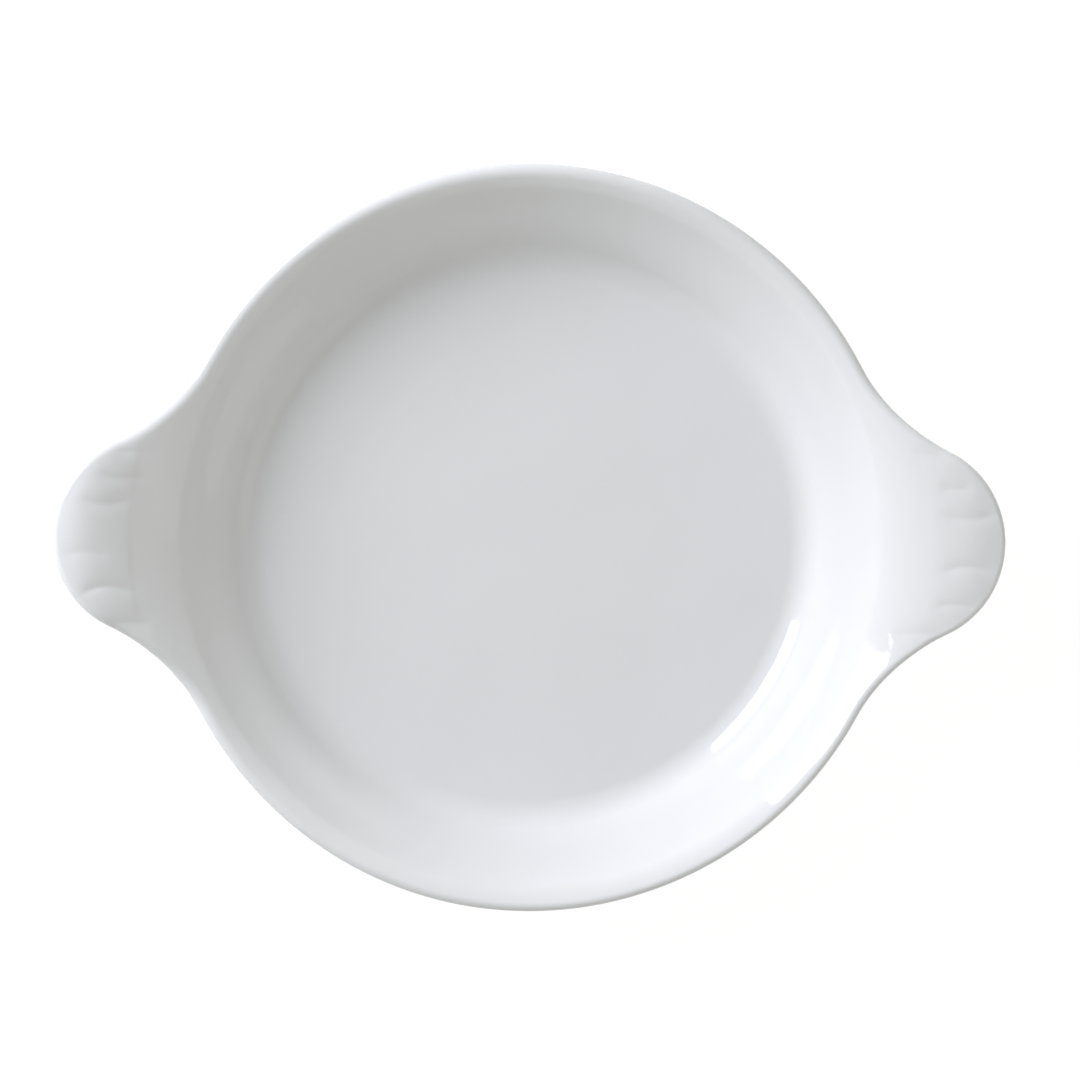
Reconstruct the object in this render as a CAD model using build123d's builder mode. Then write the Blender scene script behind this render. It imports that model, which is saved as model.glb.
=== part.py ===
from build123d import *
from math import acos, asin, cos, degrees, hypot, radians, sin
import os

# A round eared gratin dish in glazed porcelain.
# Lengths are in millimetres and angles in degrees.
# The dish stands on z = 0 with its axis on Z, and its ears lie along X.

# Bowl
rim_radius = 110
rim_height = 35
wall_thickness = 4.6
wall_angle = 57
cove_radius = 13
shoulder_radius = 10
rim_round = 2.6
rim_under_bevel = 1.2

# Brim, the large curve that carries the wall outwards and level into the ears
brim_radius = 45
brim_start_angle = 40
brim_rim_angle = 31

# Ears, measured from the rim, and the stretch of rim that each ear takes with it
ear_length = 29
ear_radius = 30
ear_blend_radius = 60
ear_seat_inset = 6
ear_end_angle = 2

# Shell fluting: the groove that bounds it, and the curved flutes between its lobes
border_inset = 7.5
border_depth = 0.35
flute_radius = 14
flute_depth = 0.9
flute_side_shares = (0.21, 0.55, 0.86)
flute_setback_shares = (0.40, 0.55, 0.76)
groove_angle = 18
groove_flank = 10

# Foot ring
foot_height = 2.4
foot_width = 6
foot_inset = 1.5
foot_bevel = 1

# How far the section and every cut run past the dish
overrun = 10


def arc_run(radius, steep_angle, level_angle):
    """Outward travel of an arc whose slope eases from one angle to the other."""
    return radius * (sin(radians(steep_angle)) - sin(radians(level_angle)))


def arc_rise(radius, steep_angle, level_angle):
    """Climb of an arc whose slope eases from one angle to the other."""
    return radius * (cos(radians(level_angle)) - cos(radians(steep_angle)))


# Heights and radii along the wall that follow from the sizes above
floor_height = foot_height + wall_thickness
arcs_rise = (
    arc_rise(cove_radius, wall_angle, 0)
    + arc_rise(shoulder_radius, wall_angle, brim_start_angle)
    + arc_rise(brim_radius, brim_start_angle, brim_rim_angle)
)
arcs_run = (
    arc_run(cove_radius, wall_angle, 0)
    + arc_run(shoulder_radius, wall_angle, brim_start_angle)
    + arc_run(brim_radius, brim_start_angle, brim_rim_angle)
)
wall_slant = (rim_height - floor_height - arcs_rise) / sin(radians(wall_angle))
floor_radius = rim_radius - arcs_run - wall_slant * cos(radians(wall_angle))
crest_radius = rim_radius + arc_run(brim_radius, brim_rim_angle, 0)
crest_height = rim_height + arc_rise(brim_radius, brim_rim_angle, 0)

# Ears in plan, and half the angle that one spans as seen from the dish's axis
ear_reach = rim_radius + ear_length
ear_center = ear_reach - ear_radius
ear_seat_radius = rim_radius - ear_seat_inset
section_reach = ear_reach + overrun
bowl_to_blend = rim_radius + ear_blend_radius
ear_to_blend = ear_radius + ear_blend_radius
blend_cosine = (bowl_to_blend**2 + ear_center**2 - ear_to_blend**2) / (2 * bowl_to_blend * ear_center)
ear_half_angle = degrees(acos(blend_cosine)) + ear_end_angle


def brim_slope(radius):
    """Slope of the brim's inner face at this distance from the dish's axis."""
    return degrees(asin(max(0, crest_radius - radius) / brim_radius))


def brim_height(radius):
    """Height of the brim's inner face at this distance from the dish's axis."""
    return crest_height - arc_rise(brim_radius, brim_slope(radius), 0)


def wall_line(depth):
    """Draw the section's line at this depth below the inner face, and return its two ends."""
    height = floor_height - depth
    floor = Line((0, height), (floor_radius, height))
    cove = JernArc(floor @ 1, floor % 1, cove_radius + depth, wall_angle)
    wall = PolarLine(cove @ 1, wall_slant, direction=cove % 1)
    easing_angle = brim_start_angle - wall_angle
    shoulder = JernArc(wall @ 1, wall % 1, shoulder_radius - depth, easing_angle)
    brim = JernArc(shoulder @ 1, shoulder % 1, brim_radius - depth, -brim_start_angle)
    crest = brim @ 1
    level = Line(crest, (section_reach, crest.Y))
    return floor @ 0, level @ 1


def groove_cutter(radius, height, slope):
    """Ring of V section, with its point at this radius and height, that opens square to a slope."""
    outer_angle = radians(groove_angle + slope)
    inner_angle = radians(groove_angle - slope)
    outer_end = (radius + groove_flank * cos(outer_angle), height + groove_flank * sin(outer_angle))
    inner_end = (radius - groove_flank * cos(inner_angle), height + groove_flank * sin(inner_angle))
    with BuildPart() as cutter:
        with BuildSketch(Plane.XZ):
            with BuildLine():
                Polyline((radius, height), outer_end, inner_end, close=True)
            make_face()
        revolve(axis=Axis.Z)
    return cutter.part


# Section of floor, wall and brim, which runs on past the ears
with BuildSketch(Plane.XZ) as ear_section:
    with BuildLine():
        inner_ends = wall_line(0)
        outer_ends = wall_line(wall_thickness)
        Line(inner_ends[0], outer_ends[0])
        Line(inner_ends[1], outer_ends[1])
    make_face()

# The same section cut off at the rim, with its lip
with BuildSketch(Plane.XZ) as bowl_section:
    add(ear_section.sketch_local)
    Rectangle(rim_radius, crest_height, align=Align.MIN, mode=Mode.INTERSECT)
    rim_corners = vertices().group_by(Axis.X)[-1].sort_by(Axis.Y)
    fillet(rim_corners[-1], radius=rim_round)
    chamfer(rim_corners[0], length=rim_under_bevel)

# Space that the right ear takes, from its seat in the rim to past its tip
with BuildPart() as ear_space:
    with BuildSketch(Plane.XY):
        with BuildLine():
            seat = CenterArc((0, 0), ear_seat_radius, -ear_half_angle, 2 * ear_half_angle)
            reach = CenterArc((0, 0), section_reach, -ear_half_angle, 2 * ear_half_angle)
            Line(seat @ 0, reach @ 0)
            Line(seat @ 1, reach @ 1)
        make_face()
    extrude(amount=crest_height + overrun)

# Bowl: floor, wall and rounded rim, open at its two ends where the ears are seated
with BuildPart() as bowl:
    revolve(bowl_section.sketch, axis=Axis.Z)
    add(ear_space.part, mode=Mode.SUBTRACT)
    mirror(ear_space.part, about=Plane.YZ, mode=Mode.SUBTRACT)

# Right ear, blended into the stretch of rim that it takes with it
with BuildPart() as right_ear:
    revolve(ear_section.sketch, axis=Axis.Z)
    with BuildSketch(Plane.XY):
        Circle(rim_radius)
        with Locations((ear_center, 0)):
            Circle(ear_radius)
        fillet(vertices(), radius=ear_blend_radius)
    extrude(amount=crest_height + overrun, mode=Mode.INTERSECT)
    edge_faces = faces().filter_by(GeomType.CYLINDER)
    inner_faces = faces().filter_by(lambda face: face.normal_at(face.center()).Z > 0) - edge_faces
    under_faces = faces().filter_by(lambda face: face.normal_at(face.center()).Z < 0) - edge_faces
    top_edges = edge_faces.edges() & inner_faces.edges()
    under_edges = edge_faces.edges() & under_faces.edges()
    fillet(top_edges, radius=rim_round)
    chamfer(under_edges, length=rim_under_bevel)
    add(ear_space.part, mode=Mode.INTERSECT)

    # Groove round the shell fluting, then three flutes on each side of the ear's axis
    border_radius = rim_radius + border_inset
    border_bottom = brim_height(border_radius) - border_depth
    add(groove_cutter(border_radius, border_bottom, brim_slope(border_radius)), mode=Mode.SUBTRACT)
    flute_cutter = groove_cutter(flute_radius, 0, 0)
    for side_share, setback_share in zip(flute_side_shares, flute_setback_shares):
        for side in (-1, 1):
            flute_x = ear_reach - setback_share * ear_radius
            flute_y = side * side_share * ear_radius
            distance = hypot(flute_x, flute_y)
            outward = Vector(flute_x, flute_y).normalized()
            slope = radians(brim_slope(distance))
            normal = Vector(0, 0, cos(slope)) - outward * sin(slope)
            middle = Vector(flute_x, flute_y, brim_height(distance))
            center = middle + Vector(0, side * flute_radius, 0) - normal * flute_depth
            with Locations(Plane(origin=center, x_dir=(0, side, 0), z_dir=normal)):
                add(flute_cutter, mode=Mode.SUBTRACT)

# Left ear, the right one's mirror image
with BuildPart() as left_ear:
    mirror(right_ear.part, about=Plane.YZ)

# Foot ring, bare of glaze where the dish stands
with BuildPart() as foot_ring:
    with BuildSketch(Plane.XZ):
        with Locations((floor_radius - foot_inset, 0)):
            Rectangle(foot_width, foot_height, align=(Align.MAX, Align.MIN))
        chamfer(vertices().group_by(Axis.Y)[0], length=foot_bevel)
    revolve(axis=Axis.Z)

bowl.part.label = "bowl"
right_ear.part.label = "right_ear"
left_ear.part.label = "left_ear"
foot_ring.part.label = "foot_ring"

os.makedirs("parts", exist_ok=True)
export_step(bowl.part, "parts/bowl.step")
export_step(right_ear.part, "parts/right_ear.step")
export_step(left_ear.part, "parts/left_ear.step")
export_step(foot_ring.part, "parts/foot_ring.step")
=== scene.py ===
from math import acos, atan2, cos, exp, hypot, pi, radians, sin, sqrt, tan

import bpy
from mathutils import Matrix, Vector


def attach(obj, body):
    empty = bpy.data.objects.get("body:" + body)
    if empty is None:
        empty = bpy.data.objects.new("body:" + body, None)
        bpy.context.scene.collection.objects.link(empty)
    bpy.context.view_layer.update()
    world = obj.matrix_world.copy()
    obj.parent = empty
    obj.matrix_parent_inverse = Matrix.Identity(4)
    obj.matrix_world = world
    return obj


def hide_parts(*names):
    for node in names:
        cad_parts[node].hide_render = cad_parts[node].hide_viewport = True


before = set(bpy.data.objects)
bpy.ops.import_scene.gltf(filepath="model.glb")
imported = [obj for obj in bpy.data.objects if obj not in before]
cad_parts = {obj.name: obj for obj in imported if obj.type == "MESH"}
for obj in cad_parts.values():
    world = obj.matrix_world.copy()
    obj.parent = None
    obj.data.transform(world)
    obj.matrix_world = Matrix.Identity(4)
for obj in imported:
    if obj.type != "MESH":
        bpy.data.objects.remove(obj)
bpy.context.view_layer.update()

# A round eared gratin dish in white glazed porcelain, seen from almost straight above.
# Lengths are in metres. The dish stands on z = 0 with its axis on Z and its ears along X.
mm = 0.001

# Bowl: the CAD part's outline, with a tighter corner and a less steep wall that bows slightly
rim_radius = 110 * mm
rim_height = 35 * mm
wall_thickness = 4.6 * mm
wall_angle = radians(51)
wall_bow = 0.31 * mm
cove_radius = 10.5 * mm
shoulder_radius = 10 * mm
rim_round = 2.2 * mm
rim_round_swing = 0.6 * mm
fullest_round_azimuth = radians(135)
rim_under_round = 1.2 * mm
brim_radius = 45 * mm
brim_start_angle = radians(40)
brim_rim_angle = radians(31)

# Ears
ear_length = 29 * mm
ear_radius = 30 * mm
ear_blend_radius = 60 * mm

# Foot ring
foot_height = 2.4 * mm
foot_width = 6 * mm
foot_inset = 1.5 * mm
foot_round = 1 * mm
foot_sunk = 0.4 * mm

# Shell fluting: each flute's middle outwards and sideways, its bend, half length and depth
left_flutes = (
    (123.5 * mm, 8.8 * mm, 15 * mm, 9 * mm, 0.42 * mm),
    (118.5 * mm, 16.2 * mm, 18 * mm, 9 * mm, 0.42 * mm),
    (114.5 * mm, 23.9 * mm, 26 * mm, 8 * mm, 0.34 * mm),
    (129 * mm, -5 * mm, 22 * mm, 9 * mm, 0.24 * mm),
    (123 * mm, -15 * mm, 12 * mm, 10 * mm, 0.56 * mm),
    (117.5 * mm, -25.6 * mm, 26 * mm, 9 * mm, 0.36 * mm),
)
right_flutes = (
    (127.8 * mm, 7.1 * mm, 22 * mm, 10 * mm, 0.44 * mm),
    (124 * mm, 15.9 * mm, 22 * mm, 6 * mm, 0.34 * mm),
    (118 * mm, 25.9 * mm, 26 * mm, 8 * mm, 0.2 * mm),
    (127.8 * mm, -6.9 * mm, 17 * mm, 10 * mm, 0.5 * mm),
    (124.5 * mm, -18 * mm, 20 * mm, 8 * mm, 0.42 * mm),
    (114 * mm, -26.6 * mm, 30 * mm, 9 * mm, 0.34 * mm),
)

# A flute's rounded bottom, the spread of its sides, and the share of its length at full depth
flute_softness = 0.6 * mm
flute_spread = 1.7 * mm
flute_full_share = 0.35

# The lobes between the flutes stand proud from this border, and sink back before the ear's edge
border_inset = 7 * mm
border_width = 2 * mm
left_lobe_height = 0.22 * mm
right_lobe_height = 0.05 * mm
lobe_level_inset = 9 * mm
lobe_end_inset = 26 * mm
lobe_half_width = 21 * mm
lobe_fade = 8 * mm

# The ears roll over towards their edge
roll_width = 12 * mm
left_roll_radius = 45 * mm
right_roll_radius = 90 * mm
roll_start_inset = 1 * mm
roll_full_inset = 12 * mm

# Away from the ears the rim eases level sooner
ease_start_radius = 104 * mm
ease_radius = 15 * mm
ease_start_angle = radians(24)
ease_full_angle = radians(42)

# The left ear climbs more steeply, from a rim that dips a little towards it
left_dip = 3.4 * mm
dip_start_radius = 84 * mm
dip_radius = 108 * mm
dip_end_inset = 26 * mm
dip_full_angle = radians(28)
dip_end_angle = radians(80)

# Fineness of the dish's mesh
ear_step = 0.6 * mm
rim_step = 2.2 * mm
cove_rows = 16
wall_rows = 8
brim_rows = 60
round_rows = 8
under_rows = 12
ring_start_radius = 94 * mm
pole_radius = 10 * mm
floor_rows = 6
foot_segments = 240

# Where the lip's slope is taken: this many of its radii in from the edge, over this span
lip_slope_inset = 1.5
lip_slope_span = 1 * mm

# Glaze, with the swells and specks of its shared effects
glaze_waves_values = {"Swell Scale": 24, "Ripple Share": 0.1}
glaze_specks_values = {"Scale": 38, "Size": 0.016, "Share": 0.16}
glaze_thin_color = (0.845, 0.85, 0.86)
glaze_thick_color = (0.865, 0.87, 0.88)
glaze_speck_color = (0.42, 0.38, 0.34)
glaze_least_roughness = 0.045
glaze_most_roughness = 0.075
glaze_ior = 1.46
glaze_wave_height = 0.6 * mm

# Bare porcelain of the foot ring
porcelain_grain_values = {"Swell Scale": 900, "Ripple Share": 0.4}
porcelain_specks_values = {"Scale": 160, "Size": 0.05, "Share": 0.25}
porcelain_dark_color = (0.74, 0.71, 0.66)
porcelain_pale_color = (0.82, 0.79, 0.75)
porcelain_speck_color = (0.46, 0.41, 0.35)
porcelain_least_roughness = 0.55
porcelain_most_roughness = 0.75
porcelain_grain_height = 0.15 * mm

# Fine ripples across one swell, and the span of the cloudy mask that the roughness follows
ripples_per_swell = 7
cloud_low = 0.3
cloud_high = 0.7

# Camera, almost straight above the dish, and the point level with the rim that it looks at
camera_distance = 750 * mm
photo_width_at_rim = 315.6 * mm
camera_right = -38 * mm
camera_up = 16 * mm
aim_right = 2.2 * mm
aim_up = -0.4 * mm
camera_roll = radians(0.65)
sensor_width = 36

# Window at the upper left of the picture, dimmer in its lower part
window_azimuth = radians(147)
window_spread = radians(16)
window_low = radians(3)
window_middle = radians(16)
window_high = radians(48)
window_distance = 1.1
window_radiance = 10.3
window_low_radiance = 1.3
window_color = (0.9, 0.91, 1)

# Soft light from the opposite side
fill_azimuth = radians(332)
fill_height = radians(25)
fill_spread = radians(24)
fill_distance = 1.3
fill_radiance = 0.6
fill_color = (1, 0.93, 1)

# Room, brighter at its walls than above, and floor
wall_light = 0.7
ceiling_light = 0.26
ceiling_start = 0.15
ceiling_full = 0.65
room_color = (0.97, 0.99, 0.89)
floor_size = 6
floor_color = 0.9
floor_glow = 0.96
floor_shadow_color = 0.1


# Section of the dish

floor_height = foot_height + wall_thickness

# The section's arcs from the floor outwards, each with its radius and the slopes at its two ends.
# The radius is negative where the arc bulges upwards.
section_arcs = (
    (cove_radius, 0, wall_angle),
    (-shoulder_radius, wall_angle, brim_start_angle),
    (-brim_radius, brim_start_angle, 0),
)


def arc_run(radius, start_angle, end_angle):
    """Outward travel of an arc between two slopes."""
    return radius * (sin(end_angle) - sin(start_angle))


def arc_rise(radius, start_angle, end_angle):
    """Climb of an arc between two slopes."""
    return radius * (cos(start_angle) - cos(end_angle))


# The wall's length and the floor's radius are what the rim's height and radius leave
last_run = arc_run(-brim_radius, brim_rim_angle, 0)
last_rise = arc_rise(-brim_radius, brim_rim_angle, 0)
crest_radius = rim_radius + last_run
crest_height = rim_height + last_rise
wall_rise = crest_height - floor_height - sum(arc_rise(*arc) for arc in section_arcs)
wall_run = wall_rise / tan(wall_angle)
floor_radius = crest_radius - wall_run - sum(arc_run(*arc) for arc in section_arcs)


def placed_arcs():
    """Each arc with its middle, from the floor's edge outwards, with the straight wall on the way."""
    radius = floor_radius
    height = floor_height
    placed = []
    for bend, start_angle, end_angle in section_arcs:
        if start_angle == wall_angle:
            radius += wall_run
            height += wall_rise
        middle = (radius - bend * sin(start_angle), height + bend * cos(start_angle))
        placed.append((middle, bend, start_angle, end_angle))
        radius += arc_run(bend, start_angle, end_angle)
        height += arc_rise(bend, start_angle, end_angle)
    return placed


section_middles = placed_arcs()


def section_height(radius, depth=0):
    """Height of the section's line at this distance from the axis, so far below the inner face."""
    if radius <= floor_radius:
        return floor_height - depth
    for (middle_radius, middle_height), bend, start_angle, end_angle in section_middles:
        reach = bend + depth
        arc_start = middle_radius + reach * sin(start_angle)
        arc_end = middle_radius + reach * sin(end_angle)
        if radius < arc_start:
            return middle_height - reach * cos(start_angle) - (arc_start - radius) * tan(start_angle)
        if radius <= arc_end:
            fall = sqrt(reach**2 - (radius - middle_radius) ** 2)
            return middle_height - fall if reach > 0 else middle_height + fall
    return crest_height - depth


# Ears in plan: each ear's circle, and the hollow arcs that blend it into the rim

ear_reach = rim_radius + ear_length
ear_center = ear_reach - ear_radius
bowl_to_blend = rim_radius + ear_blend_radius
ear_to_blend = ear_radius + ear_blend_radius
blend_cosine = (bowl_to_blend**2 + ear_center**2 - ear_to_blend**2) / (2 * bowl_to_blend * ear_center)
blend_start_angle = acos(blend_cosine)
blend_center = Vector((bowl_to_blend * cos(blend_start_angle), bowl_to_blend * sin(blend_start_angle)))
ear_arc_angle = atan2(blend_center.y, blend_center.x - ear_center)

# The forms of the ears alone lie farther out along X than this
ear_forms_start = ear_center - ear_radius / 2


def even_steps(start, end, count):
    """Evenly spaced values from start up to but not including end."""
    return [start + (end - start) * index / count for index in range(count)]


def spaced(start, end, radius, step):
    """Angles from start up to but not including end, about one step apart on an arc."""
    return even_steps(start, end, max(1, round(abs(end - start) * radius / step)))


def quarter_outline():
    """Outline from an ear's tip to the middle of the rim, as points with their outward normals."""
    pairs = []
    for angle in spaced(0, ear_arc_angle, ear_radius, ear_step):
        normal = Vector((cos(angle), sin(angle)))
        pairs.append((Vector((ear_center, 0)) + normal * ear_radius, normal))
    for angle in spaced(ear_arc_angle, blend_start_angle, ear_blend_radius, ear_step):
        normal = Vector((cos(angle), sin(angle)))
        pairs.append((blend_center - normal * ear_blend_radius, normal))
    for angle in spaced(blend_start_angle, pi / 2, rim_radius, rim_step):
        normal = Vector((cos(angle), sin(angle)))
        pairs.append((normal * rim_radius, normal))
    pairs.append((Vector((0, rim_radius)), Vector((0, 1))))
    return pairs


def turned(pairs, x_sign, y_sign):
    """The same points and normals, mirrored by these signs."""
    signs = Vector((x_sign, y_sign))
    return [(point * signs, normal * signs) for point, normal in pairs]


def full_outline():
    """The whole outline, anticlockwise from the right ear's tip."""
    quarter = quarter_outline()
    back = quarter + turned(quarter, -1, 1)[-2::-1]
    front = turned(back, -1, -1)
    return back[:-1] + front[:-1]


# Shell fluting

def smooth_step(low, high, value):
    """Rise from 0 to 1 between low and high, level at both ends."""
    share = min(1, max(0, (value - low) / (high - low)))
    return share * share * (3 - 2 * share)


def flute_hollow(flutes, x, y):
    """Depth of an ear's flutes at this distance outwards and sideways."""
    hollow = 0
    for middle_x, middle_y, radius, half_length, depth in flutes:
        side = 1 if middle_y > 0 else -1
        across_x = x - middle_x
        across_y = abs(middle_y) + radius - side * y
        gap = hypot(across_x, across_y) - radius
        along = radius * atan2(across_x, across_y)
        strength = 1 - smooth_step(flute_full_share * half_length, half_length, abs(along))
        if strength > 0:
            rounded_gap = sqrt(gap**2 + flute_softness**2) - flute_softness
            hollow = max(hollow, depth * strength * exp(-rounded_gap / flute_spread))
    return hollow


def lobe_rise(radius, y):
    """Share of the lobes' height over the brim at this distance from the axis."""
    border = rim_radius + border_inset
    rise = smooth_step(border - border_width / 2, border + border_width / 2, radius)
    fall = smooth_step(rim_radius + lobe_level_inset, rim_radius + lobe_end_inset, radius)
    sides = smooth_step(lobe_half_width, lobe_half_width + lobe_fade, abs(y))
    return rise * (1 - fall) * (1 - sides)


# Ears as they are formed: rolled over at the edge, the left one steeper

def outline_gap(x, y):
    """Distance in from an ear's outline."""
    across = Vector((abs(x) - ear_center, abs(y)))
    if atan2(across.y, across.x) < ear_arc_angle:
        return ear_radius - across.length
    return (Vector((abs(x), abs(y))) - blend_center).length - ear_blend_radius


def edge_roll(x, y):
    """Drop of an ear's face towards its edge."""
    strength = smooth_step(rim_radius + roll_start_inset, rim_radius + roll_full_inset, hypot(x, y))
    if strength == 0:
        return 0
    inward = min(roll_width, max(0, outline_gap(x, y)))
    radius = right_roll_radius if x > 0 else left_roll_radius
    return strength * (roll_width - inward) ** 2 / (2 * radius)


def bow_rise(radius):
    """Slight bow of the wall, whose middle is less steep than its ends."""
    wall_start = floor_radius + cove_radius * sin(wall_angle)
    share = min(1, max(0, (radius - wall_start) / wall_run))
    return wall_bow * sin(2 * pi * share)


def rim_drop(x, y):
    """How far the rim lies below the plain section: eased level between the ears, and lower at the left."""
    radius = hypot(x, y)
    eased = smooth_step(ease_start_angle, ease_full_angle, atan2(abs(y), abs(x)))
    drop = eased * max(0, radius - ease_start_radius) ** 2 / (2 * ease_radius)
    share = 1 - smooth_step(dip_full_angle, dip_end_angle, atan2(abs(y), -x))
    sinks = smooth_step(dip_start_radius, dip_radius, radius)
    climbs = smooth_step(rim_radius, rim_radius + dip_end_inset, radius)
    return drop + left_dip * share * sinks * (1 - climbs)


def top_height(x, y):
    """Height of the dish's upper face."""
    radius = hypot(x, y)
    if radius <= floor_radius:
        return section_height(radius)
    height = section_height(radius) + bow_rise(radius) - rim_drop(x, y)
    if abs(x) > ear_forms_start:
        flutes = right_flutes if x > 0 else left_flutes
        lobe_height = right_lobe_height if x > 0 else left_lobe_height
        height += lobe_height * lobe_rise(radius, y) - flute_hollow(flutes, abs(x), y) - edge_roll(x, y)
    return min(height, crest_height)


# Dish mesh: one closed skin of columns that run from the middle of the floor out over the lip and back below

def edge_slope(height_at, point, normal, inset):
    """Slope of a face across the outline, a little way in from it."""
    near = point - normal * inset
    far = point - normal * (inset + lip_slope_span)
    return atan2(height_at(near.x, near.y) - height_at(far.x, far.y), lip_slope_span)


def under_height(x, y):
    """Height of the dish's lower face."""
    roll = edge_roll(x, y) if abs(x) > ear_forms_start else 0
    return section_height(hypot(x, y), wall_thickness) - rim_drop(x, y) - roll


def lip_round(normal):
    """Radius of the lip's rounding, a little fuller at one side of the dish."""
    return rim_round + rim_round_swing * cos(atan2(normal.y, normal.x) - fullest_round_azimuth)


def edge_ball(height_at, point, normal, ball, side):
    """Slope of the face where a ball rolls along the outline, and the height of the ball's middle."""
    slope = edge_slope(height_at, point, normal, lip_slope_inset * ball)
    touch = point - normal * ball * (1 + side * sin(slope))
    return slope, height_at(touch.x, touch.y) - side * ball * cos(slope)


def lip_points(point, normal):
    """Points of the lip from the upper face, round the edge, to the lower face."""
    ball = lip_round(normal)
    slope, middle = edge_ball(top_height, point, normal, ball, 1)
    under_slope, under_middle = edge_ball(under_height, point, normal, rim_under_round, -1)
    points = []
    for row in range(round_rows + 1):
        angle = -slope + (pi / 2 + slope) * row / round_rows
        place = point - normal * ball * (1 - sin(angle))
        points.append((place.x, place.y, middle + ball * cos(angle)))
    for row in range(round_rows + 1):
        angle = (pi / 2 - under_slope) * row / round_rows
        place = point - normal * rim_under_round * (1 - cos(angle))
        points.append((place.x, place.y, under_middle - rim_under_round * sin(angle)))
    return points


def corner_radii(depth):
    """Distances from the axis of the rings round the floor's corner, so far below the inner face."""
    angles = [wall_angle * row / cove_rows for row in range(cove_rows + 1)]
    return [floor_radius + (cove_radius + depth) * sin(angle) for angle in angles]


def inner_radii():
    """Distances from the axis of the rings on the floor, its corner and the lower wall."""
    floor = even_steps(pole_radius, floor_radius, floor_rows)
    corner = corner_radii(0)
    wall = even_steps(corner[-1], ring_start_radius, wall_rows)[1:] + [ring_start_radius]
    return floor + corner + wall


def column(point, normal):
    """Points of one column, from the ring round the middle of the floor to the one below it."""
    lip = lip_points(point, normal)
    start_x, start_y, _ = lip[0]
    reach = hypot(start_x, start_y)
    direction_x = start_x / reach
    direction_y = start_y / reach
    radii = inner_radii()
    radii += even_steps(radii[-1], reach, brim_rows)[1:]
    top = [(direction_x * r, direction_y * r, top_height(direction_x * r, direction_y * r)) for r in radii]

    end_x, end_y, _ = lip[-1]
    end_reach = hypot(end_x, end_y)
    out_x = end_x / end_reach
    out_y = end_y / end_reach
    corner = corner_radii(wall_thickness)[::-1]
    brim = even_steps(end_reach, corner[0], under_rows)[1:]
    floor = even_steps(floor_radius, pole_radius, floor_rows)[1:] + [pole_radius]
    under = [(out_x * r, out_y * r, under_height(out_x * r, out_y * r)) for r in brim + corner + floor]
    return top + lip + under


def mesh_piece(name, points, faces):
    """A smooth-shaded mesh object at the origin."""
    mesh = bpy.data.meshes.new(name)
    mesh.from_pydata(points, [], faces)
    mesh.polygons.foreach_set("use_smooth", [True] * len(mesh.polygons))
    mesh.update()
    piece = bpy.data.objects.new(name, mesh)
    bpy.context.scene.collection.objects.link(piece)
    return piece


def make_dish():
    """Bowl and both ears as one skin, as they are fired in one piece."""
    columns = [column(point, normal) for point, normal in full_outline()]
    rows = len(columns[0])
    points = [point for one in columns for point in one]
    top_pole = len(points)
    under_pole = top_pole + 1
    points += [(0, 0, floor_height), (0, 0, foot_height)]
    faces = []
    for index in range(len(columns)):
        here = index * rows
        there = (index + 1) % len(columns) * rows
        for row in range(rows - 1):
            faces.append((here + row, here + row + 1, there + row + 1, there + row))
        faces.append((top_pole, here, there))
        faces.append((under_pole, there + rows - 1, here + rows - 1))
    return mesh_piece("glazed_dish", points, faces)


def make_foot():
    """Foot ring, rounded where it stands and sunk a little into the glaze above."""
    outer = floor_radius - foot_inset
    inner = outer - foot_width
    top = foot_height + foot_sunk
    profile = [(outer, top)]
    for middle, start_angle in ((outer - foot_round, 0), (inner + foot_round, -pi / 2)):
        for row in range(round_rows + 1):
            angle = start_angle - pi / 2 * row / round_rows
            profile.append((middle + foot_round * cos(angle), foot_round * (1 + sin(angle))))
    profile.append((inner, top))
    points = []
    faces = []
    count = len(profile)
    for segment in range(foot_segments):
        angle = 2 * pi * segment / foot_segments
        points += [(radius * cos(angle), radius * sin(angle), height) for radius, height in profile]
        here = segment * count
        there = (segment + 1) % foot_segments * count
        for row in range(count):
            after = (row + 1) % count
            faces.append((here + row, there + row, there + after, here + after))
    return mesh_piece("foot", points, faces)


# Shared effects

def new_group(name, inputs, outputs):
    """An empty node group with these named sockets, and its input and output nodes."""
    group = bpy.data.node_groups.new(name, "ShaderNodeTree")
    for socket_name, socket_type, default in inputs:
        socket = group.interface.new_socket(socket_name, in_out="INPUT", socket_type=socket_type)
        if default is not None:
            socket.default_value = default
    for socket_name, socket_type in outputs:
        group.interface.new_socket(socket_name, in_out="OUTPUT", socket_type=socket_type)
    return group, group.nodes.new("NodeGroupInput"), group.nodes.new("NodeGroupOutput")


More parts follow.
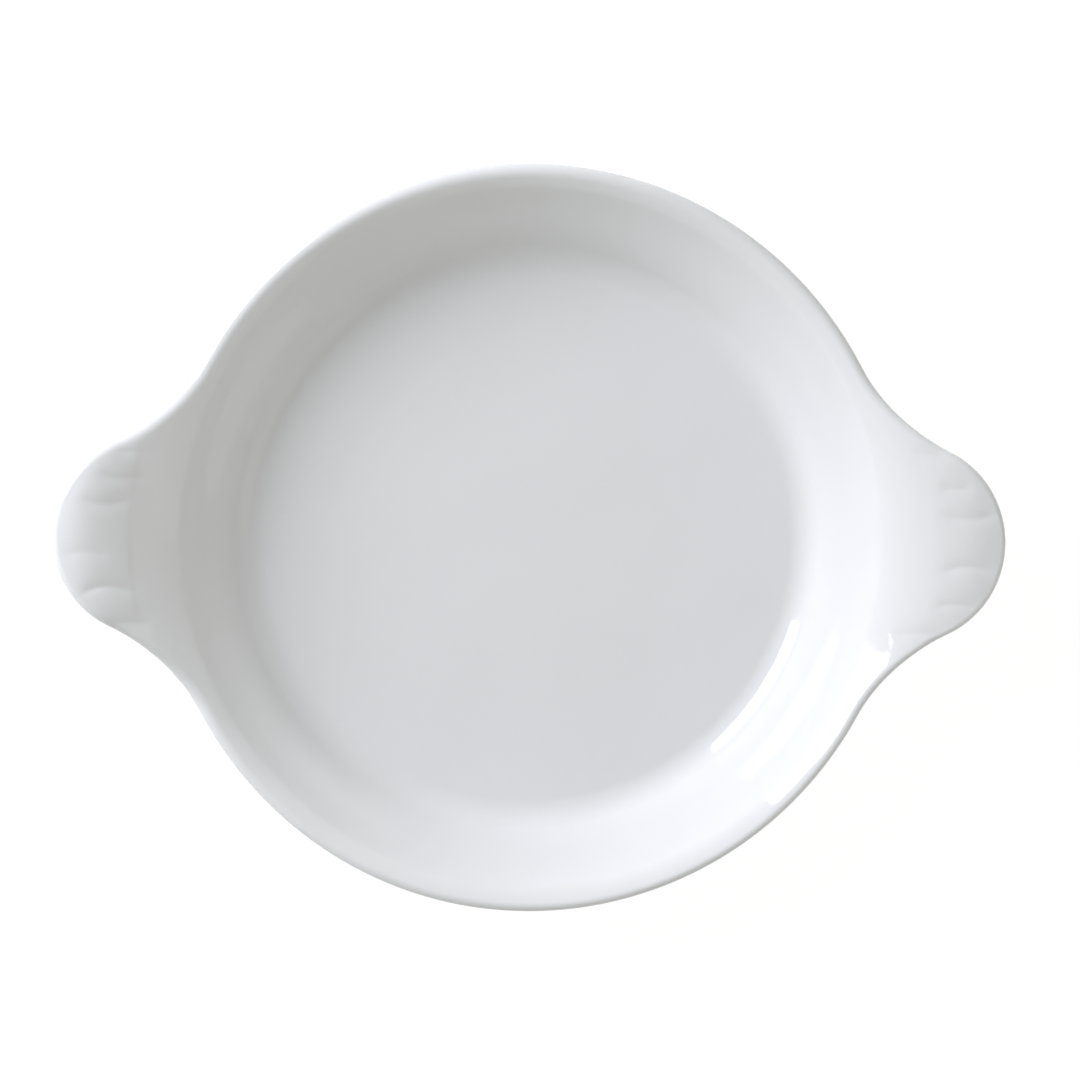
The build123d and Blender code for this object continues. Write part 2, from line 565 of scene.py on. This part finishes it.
def glaze_waves_group():
    """Slow swells and fine ripples of a fired glaze, as a height and as a cloudy mask."""
    group, inputs, outputs = new_group(
        "glaze_waves",
        [
            ("Vector", "NodeSocketVector", None),
            ("Swell Scale", "NodeSocketFloat", 22),
            ("Ripple Share", "NodeSocketFloat", 0.12),
        ],
        [("Height", "NodeSocketFloat"), ("Cloud", "NodeSocketFloat")],
    )
    links = group.links
    swell = group.nodes.new("ShaderNodeTexNoise")
    swell.inputs["Detail"].default_value = 1
    ripple_scale = group.nodes.new("ShaderNodeMath")
    ripple_scale.operation = "MULTIPLY"
    ripple_scale.inputs[1].default_value = ripples_per_swell
    ripple = group.nodes.new("ShaderNodeTexNoise")
    ripple.inputs["Detail"].default_value = 2
    blend = group.nodes.new("ShaderNodeMix")
    links.new(inputs.outputs["Vector"], swell.inputs["Vector"])
    links.new(inputs.outputs["Swell Scale"], swell.inputs["Scale"])
    links.new(inputs.outputs["Swell Scale"], ripple_scale.inputs[0])
    links.new(inputs.outputs["Vector"], ripple.inputs["Vector"])
    links.new(ripple_scale.outputs["Value"], ripple.inputs["Scale"])
    links.new(inputs.outputs["Ripple Share"], blend.inputs["Factor"])
    links.new(swell.outputs["Fac"], blend.inputs["A"])
    links.new(ripple.outputs["Fac"], blend.inputs["B"])
    links.new(blend.outputs["Result"], outputs.inputs["Height"])
    links.new(swell.outputs["Fac"], outputs.inputs["Cloud"])
    return group


def specks_group():
    """Sparse round specks, as a mask that is 1 inside a speck."""
    group, inputs, outputs = new_group(
        "fired_specks",
        [
            ("Vector", "NodeSocketVector", None),
            ("Scale", "NodeSocketFloat", 45),
            ("Size", "NodeSocketFloat", 0.02),
            ("Share", "NodeSocketFloat", 0.2),
        ],
        [("Mask", "NodeSocketFloat")],
    )
    links = group.links
    cells = group.nodes.new("ShaderNodeTexVoronoi")
    inside = group.nodes.new("ShaderNodeMath")
    inside.operation = "LESS_THAN"
    chosen = group.nodes.new("ShaderNodeMath")
    chosen.operation = "LESS_THAN"
    both = group.nodes.new("ShaderNodeMath")
    both.operation = "MULTIPLY"
    split = group.nodes.new("ShaderNodeSeparateColor")
    links.new(inputs.outputs["Vector"], cells.inputs["Vector"])
    links.new(inputs.outputs["Scale"], cells.inputs["Scale"])
    links.new(cells.outputs["Distance"], inside.inputs[0])
    links.new(inputs.outputs["Size"], inside.inputs[1])
    links.new(cells.outputs["Color"], split.inputs["Color"])
    links.new(split.outputs["Red"], chosen.inputs[0])
    links.new(inputs.outputs["Share"], chosen.inputs[1])
    links.new(inside.outputs["Value"], both.inputs[0])
    links.new(chosen.outputs["Value"], both.inputs[1])
    links.new(both.outputs["Value"], outputs.inputs["Mask"])
    return group


glaze_waves = glaze_waves_group()
fired_specks = specks_group()


def new_material(name):
    """A node material with its shader and its object coordinates."""
    material = bpy.data.materials.new(name)
    material.use_nodes = True
    shader = material.node_tree.nodes["Principled BSDF"]
    place = material.node_tree.nodes.new("ShaderNodeTexCoord")
    return material, shader, place


def add_group(material, group, values, vector):
    """Place a shared effect in a material with its own values."""
    node = material.node_tree.nodes.new("ShaderNodeGroup")
    node.node_tree = group
    for name, value in values.items():
        node.inputs[name].default_value = value
    material.node_tree.links.new(vector, node.inputs["Vector"])
    return node


def mix_color(material, factor, first, second):
    """Mix two colours, each a socket or a plain colour, by a mask."""
    mix = material.node_tree.nodes.new("ShaderNodeMix")
    mix.data_type = "RGBA"
    material.node_tree.links.new(factor, mix.inputs["Factor"])
    for name, color in (("A", first), ("B", second)):
        if isinstance(color, tuple):
            mix.inputs[name].default_value = (*color, 1)
        else:
            material.node_tree.links.new(color, mix.inputs[name])
    return mix.outputs["Result"]


def cloudy_range(material, cloud, least, most):
    """A value that follows the cloudy mask from its least to its most."""
    node = material.node_tree.nodes.new("ShaderNodeMapRange")
    node.inputs["From Min"].default_value = cloud_low
    node.inputs["From Max"].default_value = cloud_high
    node.inputs["To Min"].default_value = least
    node.inputs["To Max"].default_value = most
    material.node_tree.links.new(cloud, node.inputs["Value"])
    return node.outputs["Result"]


def add_bump(material, shader, height, distance):
    """Bend the shader's normal by a height."""
    bump = material.node_tree.nodes.new("ShaderNodeBump")
    bump.inputs["Distance"].default_value = distance
    material.node_tree.links.new(height, bump.inputs["Height"])
    material.node_tree.links.new(bump.outputs["Normal"], shader.inputs["Normal"])


def white_glaze():
    """Clear glossy glaze over white porcelain, a little paler where it lies thick."""
    material, shader, place = new_material("white_glaze")
    where = place.outputs["Object"]
    waves = add_group(material, glaze_waves, glaze_waves_values, where)
    specks = add_group(material, fired_specks, glaze_specks_values, where)
    body = mix_color(material, waves.outputs["Cloud"], glaze_thin_color, glaze_thick_color)
    speckled = mix_color(material, specks.outputs["Mask"], body, glaze_speck_color)
    material.node_tree.links.new(speckled, shader.inputs["Base Color"])
    roughness = cloudy_range(material, waves.outputs["Cloud"], glaze_least_roughness, glaze_most_roughness)
    material.node_tree.links.new(roughness, shader.inputs["Roughness"])
    shader.inputs["IOR"].default_value = glaze_ior
    add_bump(material, shader, waves.outputs["Height"], glaze_wave_height)
    return material


def bare_porcelain():
    """Unglazed porcelain where the dish stands, with a fine sandy tooth."""
    material, shader, place = new_material("bare_porcelain")
    where = place.outputs["Object"]
    grain = add_group(material, glaze_waves, porcelain_grain_values, where)
    specks = add_group(material, fired_specks, porcelain_specks_values, where)
    body = mix_color(material, grain.outputs["Cloud"], porcelain_dark_color, porcelain_pale_color)
    speckled = mix_color(material, specks.outputs["Mask"], body, porcelain_speck_color)
    material.node_tree.links.new(speckled, shader.inputs["Base Color"])
    roughness = cloudy_range(
        material, grain.outputs["Cloud"], porcelain_least_roughness, porcelain_most_roughness
    )
    material.node_tree.links.new(roughness, shader.inputs["Roughness"])
    add_bump(material, shader, grain.outputs["Height"], porcelain_grain_height)
    return material


def seen_rays(nodes, links):
    """Mask of the rays that look at the background: from the camera, by a reflection or through glass."""
    rays = nodes.new("ShaderNodeLightPath")
    total = None
    for name in ("Is Camera Ray", "Is Glossy Ray", "Is Transmission Ray"):
        if total is None:
            total = rays.outputs[name]
            continue
        either = nodes.new("ShaderNodeMath")
        either.operation = "MAXIMUM"
        links.new(total, either.inputs[0])
        links.new(rays.outputs[name], either.inputs[1])
        total = either.outputs["Value"]
    return total


def studio_floor():
    """Pale floor that shows white to the camera and keeps the dish's shadow."""
    material = bpy.data.materials.new("studio_floor")
    material.use_nodes = True
    nodes = material.node_tree.nodes
    links = material.node_tree.links
    nodes.clear()
    output = nodes.new("ShaderNodeOutputMaterial")
    pale = nodes.new("ShaderNodeBsdfDiffuse")
    pale.inputs["Color"].default_value = (floor_color, floor_color, floor_color, 1)
    glow = nodes.new("ShaderNodeEmission")
    glow.inputs["Strength"].default_value = floor_glow
    shadowed = nodes.new("ShaderNodeBsdfDiffuse")
    shadowed.inputs["Color"].default_value = (floor_shadow_color, floor_shadow_color, floor_shadow_color, 1)
    white = nodes.new("ShaderNodeAddShader")
    by_ray = nodes.new("ShaderNodeMixShader")
    links.new(glow.outputs["Emission"], white.inputs[0])
    links.new(shadowed.outputs["BSDF"], white.inputs[1])
    links.new(seen_rays(nodes, links), by_ray.inputs["Fac"])
    links.new(pale.outputs["BSDF"], by_ray.inputs[1])
    links.new(white.outputs["Shader"], by_ray.inputs[2])
    links.new(by_ray.outputs["Shader"], output.inputs["Surface"])
    return material


# Dish

dish = make_dish()
dish.data.materials.append(white_glaze())
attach(dish, "root")
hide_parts("bowl", "left_ear", "right_ear")

foot = make_foot()
foot.data.materials.append(bare_porcelain())
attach(foot, "root")
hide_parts("foot_ring")


# Studio

def make_floor():
    """Level floor that the dish stands on."""
    half = floor_size / 2
    corners = [(-half, -half, 0), (half, -half, 0), (half, half, 0), (-half, half, 0)]
    floor = mesh_piece("floor", corners, [(0, 1, 2, 3)])
    floor.data.materials.append(studio_floor())


def make_window(name, low_angle, high_angle, radiance):
    """Upright part of the window, as wide and as high as its reflections in the glaze show."""
    low = window_distance * tan(low_angle)
    high = window_distance * tan(high_angle)
    lamp = bpy.data.lights.new(name, "AREA")
    lamp.shape = "RECTANGLE"
    lamp.size = 2 * window_distance * tan(window_spread)
    lamp.size_y = high - low
    lamp.energy = radiance * pi * lamp.size * lamp.size_y
    lamp.color = window_color
    window = bpy.data.objects.new(name, lamp)
    window.location = (
        window_distance * cos(window_azimuth),
        window_distance * sin(window_azimuth),
        (low + high) / 2,
    )
    toward_dish = Vector((-cos(window_azimuth), -sin(window_azimuth), 0))
    window.rotation_euler = toward_dish.to_track_quat("-Z", "Y").to_euler()
    bpy.context.scene.collection.objects.link(window)


def make_fill():
    """Large soft lamp opposite the window."""
    lamp = bpy.data.lights.new("fill", "AREA")
    lamp.shape = "DISK"
    lamp.size = 2 * fill_distance * tan(fill_spread)
    lamp.energy = fill_radiance * pi * pi * lamp.size**2 / 4
    lamp.color = fill_color
    fill = bpy.data.objects.new("fill", lamp)
    direction = Vector((
        cos(fill_azimuth) * cos(fill_height),
        sin(fill_azimuth) * cos(fill_height),
        sin(fill_height),
    ))
    fill.location = direction * fill_distance
    fill.rotation_euler = (-direction).to_track_quat("-Z", "Y").to_euler()
    bpy.context.scene.collection.objects.link(fill)


def make_room():
    """Light of a room with pale walls, white where the camera sees it."""
    world = bpy.data.worlds.new("room")
    bpy.context.scene.world = world
    world.use_nodes = True
    nodes = world.node_tree.nodes
    links = world.node_tree.links
    room = nodes["Background"]
    room.inputs["Color"].default_value = (*room_color, 1)
    place = nodes.new("ShaderNodeTexCoord")
    split = nodes.new("ShaderNodeSeparateXYZ")
    by_height = nodes.new("ShaderNodeMapRange")
    by_height.inputs["From Min"].default_value = ceiling_start
    by_height.inputs["From Max"].default_value = ceiling_full
    by_height.inputs["To Min"].default_value = wall_light
    by_height.inputs["To Max"].default_value = ceiling_light
    links.new(place.outputs["Generated"], split.inputs["Vector"])
    links.new(split.outputs["Z"], by_height.inputs["Value"])
    links.new(by_height.outputs["Result"], room.inputs["Strength"])
    backdrop = nodes.new("ShaderNodeBackground")
    backdrop.inputs["Color"].default_value = (1, 1, 1, 1)
    by_ray = nodes.new("ShaderNodeMixShader")
    links.new(seen_rays(nodes, links), by_ray.inputs["Fac"])
    links.new(room.outputs["Background"], by_ray.inputs[1])
    links.new(backdrop.outputs["Background"], by_ray.inputs[2])
    links.new(by_ray.outputs["Shader"], nodes["World Output"].inputs["Surface"])


def make_camera():
    """Camera above the dish, turned and aimed as the photograph's was."""
    data = bpy.data.cameras.new("camera")
    data.sensor_width = sensor_width
    data.lens = sensor_width * camera_distance / photo_width_at_rim
    camera = bpy.data.objects.new("camera", data)
    right = Vector((cos(camera_roll), sin(camera_roll), 0))
    up = Vector((-sin(camera_roll), cos(camera_roll), 0))
    aim = right * aim_right + up * aim_up + Vector((0, 0, rim_height))
    camera.location = right * camera_right + up * camera_up + Vector((0, 0, rim_height + camera_distance))
    back = (camera.location - aim).normalized()
    side = up.cross(back).normalized()
    camera.rotation_euler = Matrix((side, back.cross(side), back)).transposed().to_euler()
    bpy.context.scene.collection.objects.link(camera)
    bpy.context.scene.camera = camera


make_floor()
make_window("window", window_middle, window_high, window_radiance)
make_window("window_lower_part", window_low, window_middle, window_low_radiance)
make_fill()
make_room()
make_camera()
bpy.context.scene.view_settings.view_transform = "Standard"
